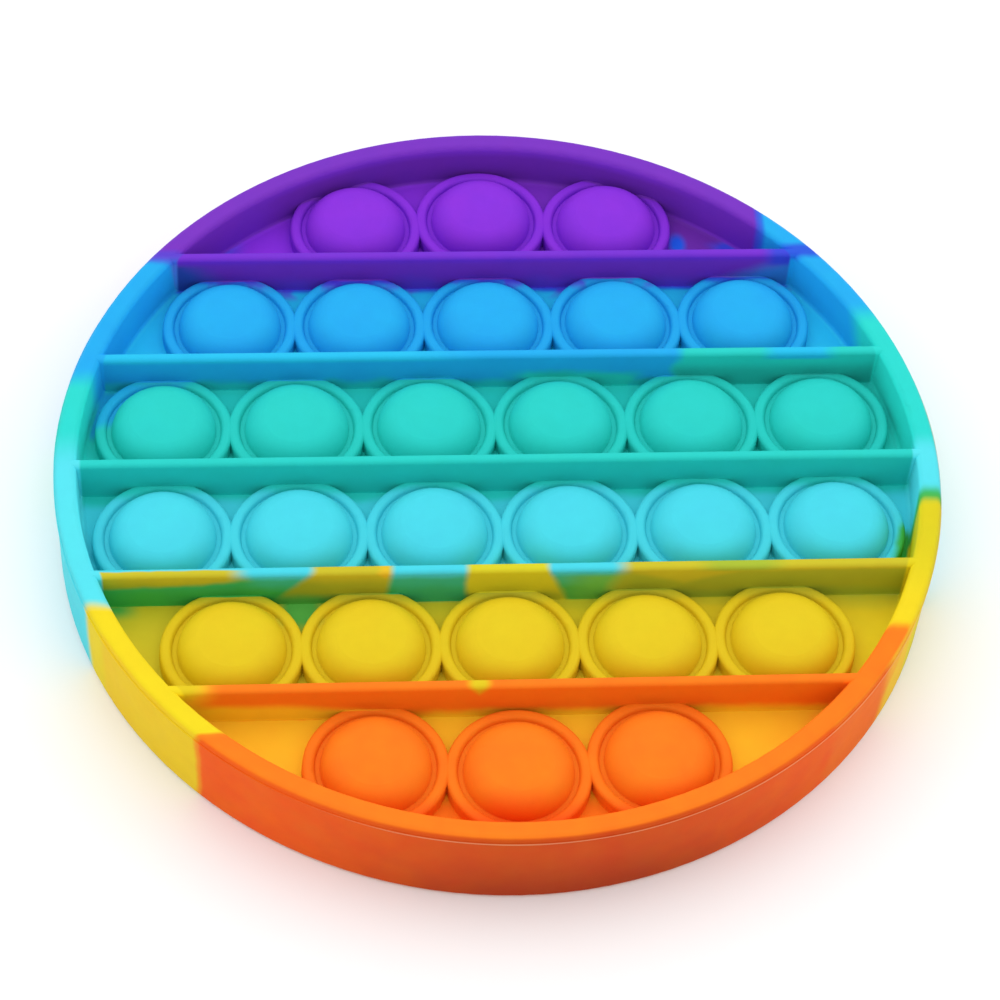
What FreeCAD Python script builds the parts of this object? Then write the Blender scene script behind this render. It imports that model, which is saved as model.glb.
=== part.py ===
import FreeCAD, Part
import math
import os

# Round bubble pop toy, moulded in one piece from silicone rubber.
# Frame: origin at the centre of the underside, +Z up, ribs along X.
# Millimetres throughout.

os.makedirs("parts", exist_ok=True)

# ---------------------------------------------------------------- dimensions
BOARD_R = 62.5            # outside radius of the rim
BOARD_H = 15.0            # rim height, the same on both faces
MID = BOARD_H / 2.0       # the board is the same above and below this plane

WEB_T = 1.1               # membrane between the bubbles
RIM_IN_TOP = 59.5         # rim inner wall at its top edge
RIM_IN_ROOT = 59.2        # rim inner wall where it meets the membrane
RIM_EDGE_OUT = 0.8        # rounding of the rim's outer edges
RIM_EDGE_IN = 0.85        # rounding of the rim's inner edges
RIM_COVE = 0.8            # cove between rim and membrane

ROW_PITCH = 19.05         # from row to row, and from rib to rib
PITCH = 19.0              # bubble pitch along a row
RIB_TOP_W = 1.5           # rib width at its top
RIB_ROOT_W = 1.7          # rib width at the membrane
RIB_EDGE = 0.65           # rounding of the rib's top edges

RING_OUT_TOP = 9.8        # collar round a bubble: outside at its top
RING_OUT_R = 9.95         # collar foot, outside
RING_IN_TOP = 8.35        # collar: inside at its top
RING_IN_R = 7.3           # collar: inside at mid height, so its inner wall slopes
RING_TOP_Z = 10.3         # collar top
RING_EDGE = 0.6           # rounding of the collar's top edges

DOME_R = 7.5              # bubble outside radius at its base
DOME_SHOULDER_R = 3.6     # rounding of the bubble's shoulder
DOME_SHOULDER_Z = 9.469   # level at which the shoulder starts
DOME_TOP_Z = 13.55        # crown of the popped-up bubble
DOME_T = 1.0              # bubble wall
GROOVE_Z = 9.65           # floor of the groove between collar and bubble
FOOT_Z = 7.9              # underside of the bubble's foot

WEB_TOP = MID + WEB_T / 2.0
WEB_BOT = MID - WEB_T / 2.0

# Rows from the far side (+Y) to the near side (-Y): bubbles per row.
ROWS = [3, 5, 6, 6, 5, 3]
MIDDLE_OUT = 1.4          # the middle bubble of a row of three sits further out
SIDE_OUT = 0.1            # and its neighbours by this much


# ------------------------------------------------------------------- helpers
def v(r, z):
    return FreeCAD.Vector(r, 0.0, z)


def rounded_wire(points):
    """Closed wire in the XZ plane from (x, z, corner radius) points."""
    n = len(points)
    starts, ends, arcs = [], [], []
    for i in range(n):
        p0, p1, p2 = points[i - 1], points[i], points[(i + 1) % n]
        a = v(p0[0], p0[1]) - v(p1[0], p1[1])
        b = v(p2[0], p2[1]) - v(p1[0], p1[1])
        a.normalize()
        b.normalize()
        c = v(p1[0], p1[1])
        rad = p1[2] if len(p1) > 2 else 0.0
        if rad <= 0.0:
            starts.append(c)
            ends.append(c)
            arcs.append(None)
            continue
        half = 0.5 * math.acos(max(-1.0, min(1.0, a.dot(b))))
        d = rad / math.tan(half)
        s = c + a * d
        e = c + b * d
        bis = a + b
        bis.normalize()
        m = c + bis * (rad / math.sin(half) - rad)
        starts.append(s)
        ends.append(e)
        arcs.append(Part.Arc(s, m, e).toShape())
    edges = []
    for i in range(n):
        if arcs[i] is not None:
            edges.append(arcs[i])
        j = (i + 1) % n
        if (ends[i] - starts[j]).Length > 1e-6:
            edges.append(Part.LineSegment(ends[i], starts[j]).toShape())
    return Part.Wire(edges)


def revolved(wire):
    face = Part.Face(wire)
    solid = face.revolve(FreeCAD.Vector(0, 0, 0), FreeCAD.Vector(0, 0, 1), 360)
    if solid.ShapeType != "Solid":
        solid = Part.Solid(solid.Shells[0])
    if solid.Volume < 0:
        solid.reverse()
    return solid


def at(shape, x, y):
    s = shape.copy()
    s.translate(FreeCAD.Vector(x, y, 0))
    return s


# --------------------------------------------------------- rim and membrane
def rim_and_web():
    upper = [
        (0.0, WEB_TOP),
        (RIM_IN_ROOT, WEB_TOP, RIM_COVE),
        (RIM_IN_TOP, BOARD_H, RIM_EDGE_IN),
        (BOARD_R, BOARD_H, RIM_EDGE_OUT),
    ]
    lower = [(p[0], BOARD_H - p[1]) + tuple(p[2:]) for p in reversed(upper)]
    return revolved(rounded_wire(upper + lower))


# --------------------------------------------------------------------- ribs
def rib(y):
    ht, hr = RIB_TOP_W / 2.0, RIB_ROOT_W / 2.0
    zt, zb = BOARD_H, 0.0
    wire = rounded_wire([
        (ht, zt, RIB_EDGE),
        (hr, MID),
        (ht, zb, RIB_EDGE),
        (-ht, zb, RIB_EDGE),
        (-hr, MID),
        (-ht, zt, RIB_EDGE),
    ])
    wire.rotate(FreeCAD.Vector(0, 0, 0), FreeCAD.Vector(0, 0, 1), 90)
    # the rib ends inside the rim
    reach = math.sqrt(((RIM_IN_TOP + BOARD_R) / 2.0) ** 2 - y * y)
    wire.translate(FreeCAD.Vector(-reach, y, 0))
    return Part.Face(wire).extrude(FreeCAD.Vector(2 * reach, 0, 0))


# ------------------------------------------------------------------ bubbles
def collar():
    zt, zb = RING_TOP_Z, BOARD_H - RING_TOP_Z
    return revolved(rounded_wire([
        (RING_OUT_TOP, zt, RING_EDGE),
        (RING_OUT_R, MID),
        (RING_OUT_TOP, zb, RING_EDGE),
        (RING_IN_TOP, zb, RING_EDGE),
        (RING_IN_R, MID),
        (RING_IN_TOP, zt, RING_EDGE),
    ]))


def dome_arcs(r_base, r_sh, z_sh, z_top, z_from):
    """Shoulder and crown arcs, tangent to each other and, where the shoulder
    starts at z_sh, to the wall; it starts higher if z_from is higher."""
    c = r_base - r_sh
    a = z_top - r_sh
    zc = (a * a - c * c - z_sh * z_sh) / (2.0 * (a - z_sh))
    rc = z_top - zc
    t = math.atan2(c, z_sh - zc)
    first = math.pi / 2 - math.asin(max(0.0, z_from - z_sh) / r_sh)
    wall = v(c + r_sh * math.sin(first), z_sh + r_sh * math.cos(first))
    join = v(c + r_sh * math.sin(t), z_sh + r_sh * math.cos(t))
    u = 0.5 * (first + t)
    mid_sh = v(c + r_sh * math.sin(u), z_sh + r_sh * math.cos(u))
    mid_cr = v(rc * math.sin(t / 2), zc + rc * math.cos(t / 2))
    return wall, mid_sh, join, mid_cr, v(0.0, z_top)


def bubble():
    """Hollow bubble with its foot, reaching into the collar. The groove's floor
    meets the bubble above the start of its shoulder."""
    w, ms, j, mc, top = dome_arcs(DOME_R, DOME_SHOULDER_R, DOME_SHOULDER_Z, DOME_TOP_Z,
                                  GROOVE_Z)
    wi, msi, ji, mci, topi = dome_arcs(DOME_R - DOME_T, DOME_SHOULDER_R - DOME_T,
                                       DOME_SHOULDER_Z, DOME_TOP_Z - DOME_T, FOOT_Z)
    # the outer end of the foot lies inside the collar's wall
    slope = (RING_IN_TOP - RING_IN_R) / (RING_TOP_Z - MID)
    r_out = RING_IN_R + slope * (GROOVE_Z - MID) + 0.2
    edges = [
        Part.LineSegment(v(r_out, FOOT_Z), v(r_out, GROOVE_Z)).toShape(),
        Part.LineSegment(v(r_out, GROOVE_Z), w).toShape(),
        Part.Arc(w, ms, j).toShape(),
        Part.Arc(j, mc, top).toShape(),
        Part.LineSegment(top, topi).toShape(),
        Part.Arc(topi, mci, ji).toShape(),
        Part.Arc(ji, msi, wi).toShape(),
        Part.LineSegment(wi, v(DOME_R - DOME_T, FOOT_Z)).toShape(),
        Part.LineSegment(v(DOME_R - DOME_T, FOOT_Z), v(r_out, FOOT_Z)).toShape(),
    ]
    return revolved(Part.Wire(edges))


def bubble_centres():
    out = []
    for i, n in enumerate(ROWS):
        y = (2.5 - i) * ROW_PITCH
        for k in range(n):
            x = (k - (n - 1) / 2.0) * PITCH
            yy = y
            if n == 3:
                side = 1.0 if y > 0 else -1.0
                yy = y + side * (MIDDLE_OUT if k == 1 else SIDE_OUT)
            out.append((x, yy))
    return out


# ------------------------------------------------------------------ assembly
def board():
    centres = bubble_centres()
    web = rim_and_web()
    # only the membrane is pierced; the rim keeps its wall
    holes = []
    hole_r = (RING_IN_TOP + RING_OUT_R) / 2.0
    hole = Part.makeCylinder(hole_r, WEB_T + 1.0, FreeCAD.Vector(0, 0, WEB_BOT - 0.5))
    keep_in = Part.makeCylinder(RIM_IN_ROOT + 0.4, BOARD_H)
    for x, y in centres:
        h = at(hole, x, y)
        if math.hypot(x, y) + hole_r > RIM_IN_ROOT + 0.4:
            h = h.common(keep_in)
        holes.append(h)
    web = web.cut(holes)
    c, d = collar(), bubble()
    collars = []
    for x, y in centres:
        s = at(c, x, y)
        if math.hypot(x, y) + RING_OUT_R > RIM_IN_ROOT + 1.5:
            s = s.common(Part.makeCylinder(RIM_IN_ROOT + 1.5, BOARD_H))
        collars.append(s)
    bubbles = [at(d, x, y) for x, y in centres]
    ribs = [rib(k * ROW_PITCH) for k in (-2, -1, 0, 1, 2)]
    whole = web.multiFuse(collars + bubbles + ribs)
    whole = whole.removeSplitter()
    return whole


shape = board()
print("type", shape.ShapeType, "solids", len(shape.Solids), "faces", len(shape.Faces),
      "valid", shape.isValid(), "volume", round(shape.Volume, 1))
if len(shape.Solids) == 1:
    shape = shape.Solids[0]
bb = shape.BoundBox
print("box", [round(c, 3) for c in (bb.XMin, bb.YMin, bb.ZMin, bb.XMax, bb.YMax, bb.ZMax)])
shape.exportStep("parts/bubble_board.step")
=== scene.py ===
import math

import bpy
from mathutils import Matrix, Vector


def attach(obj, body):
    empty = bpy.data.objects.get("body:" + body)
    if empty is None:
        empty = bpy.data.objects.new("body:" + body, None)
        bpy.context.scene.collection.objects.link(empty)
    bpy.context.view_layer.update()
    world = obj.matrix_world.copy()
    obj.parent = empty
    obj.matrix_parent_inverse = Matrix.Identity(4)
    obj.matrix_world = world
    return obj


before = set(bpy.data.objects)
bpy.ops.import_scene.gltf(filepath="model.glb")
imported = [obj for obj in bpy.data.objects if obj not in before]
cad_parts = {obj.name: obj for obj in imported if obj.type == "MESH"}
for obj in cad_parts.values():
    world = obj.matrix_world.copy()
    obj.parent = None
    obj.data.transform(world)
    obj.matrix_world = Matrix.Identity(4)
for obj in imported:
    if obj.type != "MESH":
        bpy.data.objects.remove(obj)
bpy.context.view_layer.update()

# Round bubble pop toy in rainbow silicone. Metres here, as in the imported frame;
# the material works in millimetres, from the object's own coordinates.

scene = bpy.context.scene
scene.view_settings.view_transform = "Standard"
scene.view_settings.look = "None"
scene.view_settings.exposure = 0.0
scene.view_settings.gamma = 1.0


# ------------------------------------------------------------------- camera
def add_camera():
    focal_px, size_px = 3144.84, 1000.0
    az, el, roll = (math.radians(a) for a in (-7.085, 53.052, 4.841))
    back = Vector((math.sin(az) * math.cos(el), -math.cos(az) * math.cos(el), math.sin(el)))
    right = Vector((math.cos(az), math.sin(az), 0.0))
    up = back.cross(right)
    r2 = math.cos(roll) * right + math.sin(roll) * up
    u2 = -math.sin(roll) * right + math.cos(roll) * up
    where = Vector((0.000929, 0.003589, 0.0)) + back * 0.458176
    data = bpy.data.cameras.new("camera")
    cam = bpy.data.objects.new("camera", data)
    scene.collection.objects.link(cam)
    m = Matrix((r2, u2, back)).transposed().to_4x4()
    m.translation = where
    cam.matrix_world = m
    data.sensor_width = 36.0
    data.lens = focal_px * 36.0 / size_px
    data.clip_start = 0.01
    data.clip_end = 20.0
    scene.camera = cam


add_camera()


# --------------------------------------------------------- node tree helpers
def lin(r, g, b):
    """sRGB 0-255 to linear."""
    out = []
    for c in (r, g, b):
        c /= 255.0
        out.append(c / 12.92 if c <= 0.04045 else ((c + 0.055) / 1.055) ** 2.4)
    return out


class S:
    """A number in a shader tree, with ordinary arithmetic and few nodes."""

    def __init__(self, tree, socket, scaled=None, stepped=None):
        self.tree, self.socket = tree, socket
        self.scaled = scaled    # (number, factor) where this is number * factor
        self.stepped = stepped  # (number, lo, hi) where this is a step

    def _op(self, op, *others):
        n = self.tree.nodes.new("ShaderNodeMath")
        n.operation = op
        for i, a in enumerate((self,) + others):
            if isinstance(a, S):
                self.tree.links.new(a.socket, n.inputs[i])
            else:
                n.inputs[i].default_value = float(a)
        return S(self.tree, n.outputs[0])

    def __add__(self, o):
        if isinstance(o, S) and o.scaled:
            return o.scaled[0]._op("MULTIPLY_ADD", o.scaled[1], self)
        if self.scaled:
            return self.scaled[0]._op("MULTIPLY_ADD", self.scaled[1], o)
        return self._op("ADD", o)

    __radd__ = __add__

    def __sub__(self, o):
        return self._op("SUBTRACT", o)

    def __mul__(self, o):
        out = self._op("MULTIPLY", o)
        if not isinstance(o, S):
            out.scaled = (self, o)
        return out

    __rmul__ = __mul__

    def __truediv__(self, o):
        return self._op("DIVIDE", o)

    def abs(self):
        return self._op("ABSOLUTE")

    def max(self, o):
        return self._op("MAXIMUM", o)

    def min(self, o):
        return self._op("MINIMUM", o)

    def step(self, lo, hi, first=0.0, last=1.0):
        """first below lo, last above hi, smooth between."""
        n = self.tree.nodes.new("ShaderNodeMapRange")
        n.interpolation_type = "SMOOTHSTEP"
        n.clamp = True
        self.tree.links.new(self.socket, n.inputs["Value"])
        n.inputs["From Min"].default_value = lo
        n.inputs["From Max"].default_value = hi
        n.inputs["To Min"].default_value = first
        n.inputs["To Max"].default_value = last
        return S(self.tree, n.outputs["Result"], stepped=(self, lo, hi))

    def band(self, lo, hi, soft):
        """1 between lo and hi, with soft shoulders."""
        return self.step(lo - soft, lo + soft) * self.step(hi - soft, hi + soft).inv()

    def inv(self):
        if self.stepped:
            a, lo, hi = self.stepped
            return a.step(lo, hi, 1.0, 0.0)
        return self._op("MULTIPLY_ADD", -1.0, 1.0)


class C:
    """A colour in a shader tree."""

    def __init__(self, tree, socket=None, rgb=None):
        self.tree, self.socket, self.rgb = tree, socket, rgb

    def over(self, other, mask):
        """This colour, with other laid over it where mask is 1."""
        n = self.tree.nodes.new("ShaderNodeMix")
        n.data_type = "RGBA"
        n.blend_type = "MIX"
        n.clamp_factor = True
        if isinstance(mask, S):
            self.tree.links.new(mask.socket, n.inputs[0])
        else:
            n.inputs[0].default_value = mask
        for c, i in ((self, 6), (other, 7)):
            if c.socket is not None:
                self.tree.links.new(c.socket, n.inputs[i])
            else:
                n.inputs[i].default_value = (*c.rgb, 1.0)
        return C(self.tree, n.outputs[2])


def noise(tree, vector, scale, detail=2.0, rough=0.5, distortion=0.0, shift=(0.0, 0.0, 0.0)):
    """Three independent noises about 0, from -1 to 1, of one noise texture."""
    m = tree.nodes.new("ShaderNodeMapping")
    m.inputs["Location"].default_value = shift
    tree.links.new(vector, m.inputs["Vector"])
    n = tree.nodes.new("ShaderNodeTexNoise")
    n.inputs["Scale"].default_value = scale
    n.inputs["Detail"].default_value = detail
    n.inputs["Roughness"].default_value = rough
    n.inputs["Distortion"].default_value = distortion
    tree.links.new(m.outputs[0], n.inputs["Vector"])
    s = tree.nodes.new("ShaderNodeSeparateColor")
    tree.links.new(n.outputs["Color"], s.inputs[0])
    return [S(tree, s.outputs[i])._op("MULTIPLY_ADD", 2.0, -1.0) for i in range(3)]


def noise1(tree, vector, scale, detail, rough):
    """One noise about 0, from -1 to 1."""
    n = tree.nodes.new("ShaderNodeTexNoise")
    n.inputs["Scale"].default_value = scale
    n.inputs["Detail"].default_value = detail
    n.inputs["Roughness"].default_value = rough
    tree.links.new(vector, n.inputs["Vector"])
    return S(tree, n.outputs["Fac"])._op("MULTIPLY_ADD", 2.0, -1.0)


def ramp(tree, value, lo, hi, stops):
    """A colour ramp over value from lo to hi; stops are (position, rgb)."""
    n = tree.nodes.new("ShaderNodeValToRGB")
    t = (value - lo) / (hi - lo)
    tree.links.new(t.socket, n.inputs[0])
    el = n.color_ramp.elements
    n.color_ramp.interpolation = "EASE"
    stops = sorted(stops, key=lambda s: s[0])
    while len(el) < len(stops):
        el.new(0.5)
    for e, (p, rgb) in zip(el, stops):
        e.position = min(1.0, max(0.0, (p - lo) / (hi - lo)))
        e.color = (*rgb, 1.0)
    return C(tree, n.outputs[0])


# ---------------------------------------------------------------- silicone
GAIN = 0.86  # the albedo that shows as a full channel under this light


def tint(r, g, b):
    return [max(0.004, c * GAIN) for c in lin(r, g, b)]


def warm(r, g, b):
    """As tint, for the pigments that send nearly all red light back."""
    c = tint(r, g, b)
    return [min(0.96, c[0] * 1.09), c[1], c[2]]


PURPLE = tint(144, 50, 230)
PLUM = tint(128, 54, 202)
PLUM_TOP = tint(125, 52, 220)
# painted shade: a darker plum laid where shade falls on the membrane and the rim's inner wall
PAINTED_SHADE_PLUM = tint(114, 46, 172)
VIOLET = tint(92, 52, 228)
INDIGO = tint(48, 80, 232)
NAVY = tint(30, 86, 176)
BLUE = tint(35, 181, 250)
SKY = tint(40, 202, 250)
DEEP_BLUE = tint(34, 150, 232)
TURQ = tint(42, 218, 208)
RIM_TURQ = tint(45, 228, 217)
TEAL = tint(40, 196, 186)
AQUA = tint(76, 225, 243)
RIM_AQUA = tint(90, 236, 249)
GREEN = tint(66, 190, 84)
SEA = tint(66, 200, 156)
MOSS = tint(146, 172, 42)
LIME = tint(176, 200, 56)
GOLD = tint(230, 220, 40)
OLIVE = tint(216, 202, 44)
OLIVE_FACE = tint(186, 190, 46)
LEAF = tint(124, 206, 78)
SPOT = tint(30, 96, 236)
YELLOW = tint(240, 210, 30)
RIM_YELLOW = tint(255, 227, 30)
RIGHT_YELLOW = tint(232, 215, 28)
AMBER = warm(255, 204, 42)
# painted light: an amber lighter than the silicone's own, for the shaded foot of rib 5
PAINTED_LIGHT_FOOT_AMBER = warm(255, 216, 44)
ORANGE = warm(255, 132, 26)
RED_ORANGE = warm(254, 94, 16)
# painted highlight: a light colour for the flash along the parting line
PAINTED_HIGHLIGHT_FLASH = tint(255, 196, 150)
SCARLET = warm(255, 132, 24)
# painted shade: a darker brick red for the front of the outer wall
PAINTED_SHADE_BRICK = tint(190, 64, 12)

ROW_PITCH = 19.05


def silicone():
    mat = bpy.data.materials.new("silicone_rainbow")
    mat.use_nodes = True
    t = mat.node_tree
    t.nodes.clear()
    out = t.nodes.new("ShaderNodeOutputMaterial")
    bsdf = t.nodes.new("ShaderNodeBsdfPrincipled")
    bsdf.distribution = "GGX"
    t.links.new(bsdf.outputs[0], out.inputs["Surface"])

    tc = t.nodes.new("ShaderNodeTexCoord")
    mm = t.nodes.new("ShaderNodeVectorMath")
    mm.operation = "SCALE"
    mm.inputs["Scale"].default_value = 1000.0
    t.links.new(tc.outputs["Object"], mm.inputs[0])
    sep = t.nodes.new("ShaderNodeSeparateXYZ")
    t.links.new(mm.outputs[0], sep.inputs[0])
    x, y, z = (S(t, sep.outputs[i]) for i in range(3))
    r = (x * x + y * y)._op("SQRT")

    def col(rgb):
        return C(t, rgb=rgb)

    # Where two colours of raw silicone meet in the mould they flow together, so
    # the borders wander: broadly, and with small tongues.
    wide = noise(t, mm.outputs[0], 0.055, 0.0)
    fine = noise(t, mm.outputs[0], 0.21, 2.0, 0.5, 0.0, (31.0, 7.0, 3.0))
    wx = x + wide[0] * 3.0 + fine[0] * 2.2
    wy = y + wide[1] * 1.0 + fine[1] * 0.7

    # inside the rim: bands by row
    inner = ramp(t, wy, -64.0, 64.0, [
        (-64.0, RED_ORANGE), (-58.0, RED_ORANGE), (-52.0, ORANGE), (-46.0, ORANGE), (-39.2, ORANGE),
        (-38.2, ORANGE), (-37.8, YELLOW), (-30.0, YELLOW), (-22.5, YELLOW), (-20.4, OLIVE),
        (-19.4, GREEN), (-18.6, AQUA), (-14.0, AQUA), (-3.0, AQUA), (-1.2, TURQ),
        (8.0, TURQ), (18.4, TURQ), (19.4, DEEP_BLUE), (20.2, BLUE), (30.0, BLUE),
        (36.2, BLUE), (37.4, INDIGO), (38.1, PURPLE), (64.0, PURPLE),
    ])

    # row 6: the membrane is amber, reddening in the corners next to the rim
    drop = (z - 7.5).abs()
    web_low = drop.step(0.75, 1.0).inv()
    off_web = drop.step(0.5, 0.7)
    row6 = wy.step(-38.9, -38.3).inv()
    reach = (y + fine[2] * 1.2).step(-53.6, -49.6).inv().max((r + fine[0] * 1.5).step(56.0, 59.5) * 0.6)
    inner = inner.over(C(t, rgb=AMBER).over(col(SCARLET), reach), row6 * web_low)

    # row 5: the membrane is olive yellow on the left, with green in its far
    # corner and between the first two rings
    row5 = wy.band(-36.9, -19.6, 0.4)
    inner = inner.over(col(OLIVE), row5 * web_low * (wx.step(-50.0, 45.0).inv() * 0.7 + 0.3))
    # the far parts of its rings are tinged by the rib behind
    inner = inner.over(col(OLIVE), (y + fine[1] * 0.4).step(-21.9, -20.3) * y.step(-19.6, -19.4).inv() * 0.8)
    green_gap = (x + 28.5 + fine[0] * 0.8).abs().step(1.6, 3.8).inv() * (y + fine[1] * 0.5).step(-25.6, -22.6)
    green_left = (x + 55.5).abs().step(1.8, 5.6).inv() * y.step(-22.6, -20.4)
    inner = inner.over(col(GREEN), row5 * z.step(9.4, 10.4).inv() * green_gap.max(green_left) * 0.9)

    # row 4: green in the right-hand corner
    corner = (y + fine[2] * 1.2).band(-17.9, -9.5, 1.0) * (x + fine[0] * 1.0 + (y + 14.0) * -0.3).step(54.9, 56.1)
    inner = inner.over(col(GREEN), corner)

    # row 3: blue lingers at the far left corner
    blue_corner = (wy * 1.6 - x - 73.5).step(-2.0, 2.0) * wy.band(9.5, 18.5, 1.0) * z.step(10.6, 11.0).inv()
    inner = inner.over(col(BLUE), blue_corner * 0.8)

    inner = inner.over(col(SKY), wy.band(20.6, 36.6, 0.5) * web_low)

    # row 2: smears of violet on the far parts of the rings, and darker blue
    smear = y.step(34.6, 36.4) * y.step(37.1, 37.3).inv() * fine[0].step(0.0, 0.3)
    inner = inner.over(col(VIOLET), smear * 0.75)

    # row 1: the membrane is painted darker plum towards the right, painted shade, with small blue spots near the first
    # rib
    inner = inner.over(col(PAINTED_SHADE_PLUM), wy.step(38.4, 39.0) * web_low * x.step(-26.0, 34.0))
    lone = ((x - 29.9) * (x - 29.9) + (y - 45.6) * (y - 45.6) * 0.4)._op("SQRT").step(0.5, 1.9).inv()
    left_patch = (x + 36.6).step(-3.5, 2.0).inv() * (y - 45.2).abs().step(0.6, 2.6).inv()
    right_patch = (x + fine[1] * 2.0).step(33.0, 37.0) * (y + fine[2] * 0.5).step(45.2, 46.6).inv() * y.step(39.2, 39.6)
    below = z.step(9.4, 10.0).inv()
    inner = inner.over(col(SPOT), lone * below)
    inner = inner.over(col(INDIGO), left_patch.max(right_patch) * below * 0.85)

    def rib_at(n):
        return (y - n * ROW_PITCH).abs().step(1.0, 1.1).inv() * off_web

    # rib 1: its face turns to indigo at the foot and to deep blue at the ends
    rib1 = rib_at(2)
    foot = drop + fine[2] * 0.9
    rib1_face = (y - 2.0 * ROW_PITCH).step(-0.75, -0.55).inv()
    rib1_col = C(t, rgb=PLUM_TOP).over(col(PLUM), drop.step(5.8, 7.0).inv())
    rib1_col = rib1_col.over(col(INDIGO), foot.step(1.0, 4.2).inv() * 0.35)
    rib1_end = (x + drop * -2.2 + fine[0] * 1.6).step(27.0, 36.0)
    rib1_left = (x * -1.0 + drop * -0.9 + fine[0] * 1.6).step(34.5, 41.0)
    rib1_col = rib1_col.over(col(DEEP_BLUE), rib1_face * rib1_end * drop.step(5.2, 6.6).inv() * 0.85)
    rib1_col = rib1_col.over(col(NAVY), rib1_face * rib1_left * drop.step(5.4, 6.8).inv() * 0.9)
    rib1_col = rib1_col.over(col(INDIGO), x.step(40.8, 43.8) * drop.step(4.5, 6.0) * 0.85)
    inner = inner.over(rib1_col, rib1)

    # rib 2: blue on the left, turquoise on the right, with blue tongues in it
    rib2 = rib_at(1)
    rib2_turq = wx.step(24.6, 27.4) * (wx.band(40.6, 49.6, 1.6) * drop.step(5.8, 6.8)).inv()
    rib2_low = (foot.step(2.8, 4.8).inv() * wx.step(3.0, 8.0) * wx.step(20.0, 23.0).inv()).max(
        foot.step(1.4, 3.4).inv() * 0.8)
    rib2_col = C(t, rgb=BLUE).over(col(SKY), drop.step(6.2, 7.0) * (x.step(-14.0, 0.0).inv() + x.step(36.0, 38.0)))
    rib2_col = rib2_col.over(col(TURQ), rib2_turq.max(rib2_low))
    rib2_col = rib2_col.over(col(TEAL), rib2_turq * drop.step(3.5, 6.0).inv())
    inner = inner.over(rib2_col, rib2)

    # rib 3: turquoise
    inner = inner.over(col(TURQ), rib_at(0))

    # rib 4: cyan and olive yellow by turns, green where they mix; the yellow
    # fields lean over as they run down the face
    rib4 = rib_at(-1)
    near = y + ROW_PITCH + fine[1] * 0.35
    down = drop * -1.0 + 7.5
    g1 = (x + fine[0] * 1.2).step(-39.0, -34.5).inv() * near.step(-0.05, 0.3).inv() * (
        drop + (x + 56.0) * -0.07 + fine[2] * 0.7).step(4.0, 5.2)
    g2 = (x + down * 0.9 + fine[0] * 0.8).step(-27.6, -25.6) * (x + down * 0.15).step(-16.6, -15.2).inv()
    g3 = (x + fine[0] * 0.7).step(-6.2, -4.8) * (x + down * -0.45 + fine[0] * 0.7).step(4.8, 6.4).inv()
    g4 = (x + down * 0.3 + fine[0] * 0.8).step(14.2, 17.6)
    gold = g1.max(g2).max(g3).max(g4)
    cool = C(t, rgb=AQUA).over(col(SEA), (drop + fine[2] * 0.5).step(5.6, 7.1).inv())
    cool = cool.over(col(GREEN), (drop + fine[2] * 0.8 + fine[0] * 0.6).step(3.0, 5.6).inv() * (x + 10.5).abs().step(4.0, 7.0, 0.5, 1.0))
    cool = cool.over(col(GREEN), x.step(-37.0, -33.0).inv() * drop.step(6.0, 7.0).inv() * 0.8)
    cool = cool.over(col(LEAF), x.step(5.5, 12.5) * drop.step(5.4, 7.0).inv() * 0.9)
    lens = ((x - 24.6).abs() * 0.35 + (drop - 6.4).abs()).step(1.5, 3.1)
    gold_col = C(t, rgb=OLIVE).over(col(OLIVE_FACE), (drop + fine[1] * 0.5).step(6.2, 7.2).inv() * x.step(12.0, 18.0) * lens)
    gold_col = gold_col.over(col(MOSS), (drop + fine[2] * 0.8).step(4.6, 7.2).inv() * (x.step(-30.0, -8.0).inv() * 0.5 + 0.15))
    gold_col = gold_col.over(col(GOLD), g3)
    gold_col = gold_col.over(col(LIME), drop.step(6.4, 7.1) * (x - 32.5).abs().step(2.5, 7.5).inv() * 0.9)
    gold_col = gold_col.over(col(GREEN), foot.step(1.0, 3.4).inv() * (g3 * -0.8 + 1.0) * x.step(14.0, 24.0, 0.8, 0.2))
    gold_col = gold_col.over(col(AMBER), ((x + 16.9).abs() + (drop - 7.2).abs() * 1.2).step(0.3, 1.8).inv() * 0.6)
    inner = inner.over(cool.over(gold_col, gold), rib4)

    # rib 5: orange, redder on its face, yellow at its left end and in one tongue
    rib5 = rib_at(-2)
    rib5_col = C(t, rgb=ORANGE).over(col(SCARLET), (drop + fine[1] * 0.3).step(6.3, 7.1).inv())
    # the amber at the foot and near the left end is painted lighter than the silicone's own amber, painted light
    # against the shade at the foot
    rib5_col = rib5_col.over(col(PAINTED_LIGHT_FOOT_AMBER), (foot + wx.step(-30.0, -14.0) * 2.0).step(2.8, 5.0).inv())
    rib5_col = rib5_col.over(col(PAINTED_LIGHT_FOOT_AMBER), (x + down * 0.3 + fine[0] * 1.0).step(-43.5, -38.5).inv() * 0.85)
    rib5_yellow = (x + down * 1.2 + fine[0] * 1.0).step(-44.0, -40.0).inv().max(
        ((x + 4.9).abs() + (drop - 7.5).abs() * 0.9).step(0.5, 2.2).inv())
    rib5_col = rib5_col.over(col(YELLOW), rib5_yellow)
    inner = inner.over(rib5_col, rib5)

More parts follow.
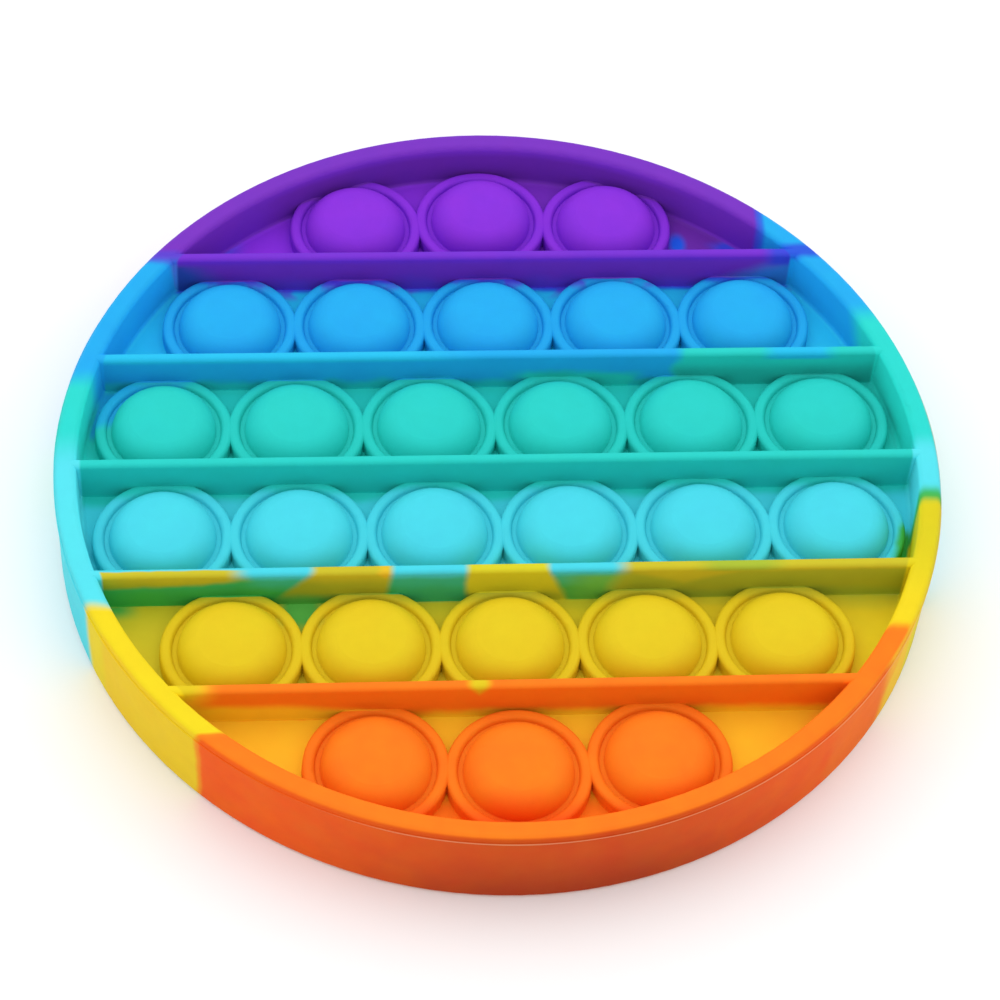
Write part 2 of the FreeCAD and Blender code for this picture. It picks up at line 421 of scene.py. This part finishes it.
    # the rim: the same colours, each side with borders of its own
    wr = y + wide[2] * 0.8 + fine[2] * 0.5
    left = ramp(t, wr, -64.0, 64.0, [
        (-64.0, ORANGE), (-46.2, ORANGE), (-45.6, ORANGE), (-45.0, RIM_YELLOW), (-36.0, RIM_YELLOW), (-25.4, RIM_YELLOW),
        (-23.6, RIM_AQUA), (-12.0, RIM_AQUA), (-1.0, RIM_AQUA), (6.0, RIM_TURQ), (12.5, RIM_TURQ), (17.0, BLUE),
        (28.0, BLUE), (36.8, BLUE), (38.4, PLUM), (64.0, PLUM),
    ])
    low = (z - 15.0) * -1.0
    right = ramp(t, wr + low * 0.55, -64.0, 64.0, [
        (-64.0, ORANGE), (-46.0, ORANGE), (-31.2, ORANGE), (-29.6, RIM_YELLOW), (-14.0, RIGHT_YELLOW), (-9.4, RIGHT_YELLOW),
        (-7.8, GREEN), (-5.6, RIM_AQUA), (0.0, RIM_AQUA), (4.0, RIM_TURQ), (24.0, RIM_TURQ), (28.5, BLUE),
        (35.6, BLUE), (64.0, BLUE),
    ])
    right = right.over(col(PLUM), (x + fine[1] * 0.4).step(40.9, 42.2).inv() * y.step(0.0, 10.0))
    side = x.step(-6.0, 6.0)
    rim = left.over(right, side)
    rim = rim.over(col(INDIGO), (wr - 38.2).abs().step(0.5, 1.9).inv() * z.step(13.4, 14.6) * x.step(-6.0, 6.0, 0.5, 0.9))
    rim = rim.over(col(INDIGO), (x - 41.6).abs().step(0.2, 1.0).inv() * y.step(38.0, 40.0) * 0.7)
    # painted shade: the lower part of the far rim's inner wall, in the middle, is painted darker plum
    rim = rim.over(col(PAINTED_SHADE_PLUM), r.step(59.4, 60.0).inv() * z.step(12.8, 14.2).inv() * wr.step(38.0, 40.0) * x.abs().step(26.0, 36.0).inv() * 0.8)
    # the outer wall is redder than the top of the rim; in front it is painted darker brick red, painted shade that is
    # stronger towards the bottom
    hot = wr.step(-46.2, -45.6).inv().max(wr.step(-37.6, -34.6).inv() * side)
    outside = r.step(62.1, 62.45)
    rim = rim.over(col(AMBER), outside * wr.band(-45.8, -29.0, 1.0) * x.step(-6.0, 6.0, 0.4, 0.75))
    wall = outside * hot
    rim = rim.over(col(RED_ORANGE), wall * 0.8)
    front = (x - 6.0).abs() + fine[0] * 4.0
    rim = rim.over(col(PAINTED_SHADE_BRICK), wall * front.step(6.0, 42.0).inv() * (z.step(0.0, 13.0).inv() * 0.5 + 0.5))
    # the thin flash along the parting line is painted lighter, a painted highlight, fading out towards the left
    rim = rim.over(col(PAINTED_HIGHLIGHT_FLASH), r.step(62.56, 62.64) * x.step(-34.0, -8.0, 0.0, 0.45))
    on_rim = r.step(58.75, 59.15)
    colour = inner.over(rim, on_rim)

    # faint streaks of pigment; the membrane is painted lighter, painted light in the shaded troughs, and the rim's
    # walls are painted lighter inside and darker outside, painted light and painted shade
    streak = noise1(t, mm.outputs[0], 0.5, 2.0, 0.6)
    hsv = t.nodes.new("ShaderNodeHueSaturation")
    t.links.new(colour.socket, hsv.inputs["Color"])
    value = streak * 0.035 + (web_low * on_rim.inv() * (wy.step(-38.9, -38.3) * 0.08 + 0.09) + (on_rim * r.step(59.7, 62.2, 0.16, -0.08) * drop.step(7.0, 7.5).inv() + 1.0))
    hue = fine[2] * 0.006 + 0.5
    t.links.new(value.socket, hsv.inputs["Value"])
    t.links.new(hue.socket, hsv.inputs["Hue"])
    t.links.new(hsv.outputs[0], bsdf.inputs["Base Color"])

    # matt skin from a blasted mould
    rough = fine[0] * 0.06 + 0.66
    t.links.new(rough.socket, bsdf.inputs["Roughness"])

    bsdf.inputs["IOR"].default_value = 1.41
    bsdf.inputs["Specular IOR Level"].default_value = 0.17
    return mat


SILICONE = silicone()
board = bpy.data.objects["bubble_board"]
for slot in board.material_slots:
    slot.material = SILICONE


# ------------------------------------------------------------- parting line
def parting_line(name, z_mid):
    """A fine ridge of flash round the rim's wall, where the mould's halves met."""
    prof = [(62.40, -0.20), (62.56, -0.14), (62.68, -0.05), (62.70, 0.02), (62.66, 0.08), (62.52, 0.12), (62.38, 0.14)]
    n = 720
    verts, faces = [], []
    for i in range(n):
        a = 2.0 * math.pi * i / n
        wob = 0.05 * math.sin(3.0 * a + 0.7) + 0.03 * math.sin(11.0 * a)
        proud = 0.02 * math.sin(7.0 * a + 1.0) + 0.015 * math.sin(23.0 * a)
        for rr, dz in prof:
            q = rr + proud * max(0.0, rr - 62.5) / 0.2
            verts.append((q * math.cos(a) / 1000.0, q * math.sin(a) / 1000.0, (z_mid + dz + wob) / 1000.0))
    m = len(prof)
    for i in range(n):
        j = (i + 1) % n
        for k in range(m - 1):
            faces.append((i * m + k, j * m + k, j * m + k + 1, i * m + k + 1))
        faces.append((i * m + m - 1, j * m + m - 1, j * m, i * m))
    mesh = bpy.data.meshes.new(name)
    mesh.from_pydata(verts, [], faces)
    for p in mesh.polygons:
        p.use_smooth = True
    mesh.update()
    ob = bpy.data.objects.new(name, mesh)
    scene.collection.objects.link(ob)
    mesh.materials.append(SILICONE)
    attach(ob, "root")
    return ob


parting_line("parting_line", 13.85)


# -------------------------------------------------------------------- stage
def floor():
    mesh = bpy.data.meshes.new("floor")
    s = 2.5
    mesh.from_pydata([(-s, -s, 0), (s, -s, 0), (s, s, 0), (-s, s, 0)], [], [(0, 1, 2, 3)])
    ob = bpy.data.objects.new("floor", mesh)
    scene.collection.objects.link(ob)
    mat = bpy.data.materials.new("pale_floor")
    mat.use_nodes = True
    t = mat.node_tree
    bsdf = t.nodes["Principled BSDF"]
    tc = t.nodes.new("ShaderNodeTexCoord")
    n = t.nodes.new("ShaderNodeTexNoise")
    n.inputs["Scale"].default_value = 6.0
    n.inputs["Detail"].default_value = 0.0
    t.links.new(tc.outputs["Object"], n.inputs["Vector"])
    cr = t.nodes.new("ShaderNodeValToRGB")
    cr.color_ramp.elements[0].position = 0.3
    cr.color_ramp.elements[0].color = (0.975, 0.975, 0.975, 1)
    cr.color_ramp.elements[1].position = 0.7
    cr.color_ramp.elements[1].color = (0.985, 0.985, 0.985, 1)
    t.links.new(n.outputs["Fac"], cr.inputs[0])
    t.links.new(cr.outputs[0], bsdf.inputs["Base Color"])
    bsdf.inputs["Roughness"].default_value = 0.85
    bsdf.inputs["Specular IOR Level"].default_value = 0.1
    mesh.materials.append(mat)


floor()


def area(name, where, size, power, colour=(1, 1, 1)):
    data = bpy.data.lights.new(name, "AREA")
    data.shape = "DISK"
    data.size = size
    data.energy = power
    data.color = colour
    ob = bpy.data.objects.new(name, data)
    scene.collection.objects.link(ob)
    ob.location = where
    ob.rotation_euler = (Vector((0, 0, 0)) - Vector(where)).to_track_quat("-Z", "Y").to_euler()
    return ob


area("overhead", (-0.12, 0.5, 1.25), 2.0, 5.2)
area("side_left", (-1.2, 0.15, 0.75), 1.1, 2.0)
area("side_right", (1.2, 0.15, 0.75), 1.1, 2.0)

world = bpy.data.worlds.new("studio")
scene.world = world
world.use_nodes = True
wt = world.node_tree
bg = wt.nodes["Background"]
# an even white room, a little dimmer down at the horizon
wc = wt.nodes.new("ShaderNodeTexCoord")
ws = wt.nodes.new("ShaderNodeSeparateXYZ")
wt.links.new(wc.outputs["Generated"], ws.inputs[0])
wr = wt.nodes.new("ShaderNodeMapRange")
wr.inputs["From Min"].default_value = 0.0
wr.inputs["From Max"].default_value = 1.0
wr.inputs["To Min"].default_value = 0.80
wr.inputs["To Max"].default_value = 0.94
wt.links.new(ws.outputs["Z"], wr.inputs["Value"])
wt.links.new(wr.outputs["Result"], bg.inputs["Strength"])
bg.inputs[0].default_value = (1.0, 1.0, 1.0, 1.0)

# matt surfaces in an even light need few bounces
scene.cycles.diffuse_bounces = 2
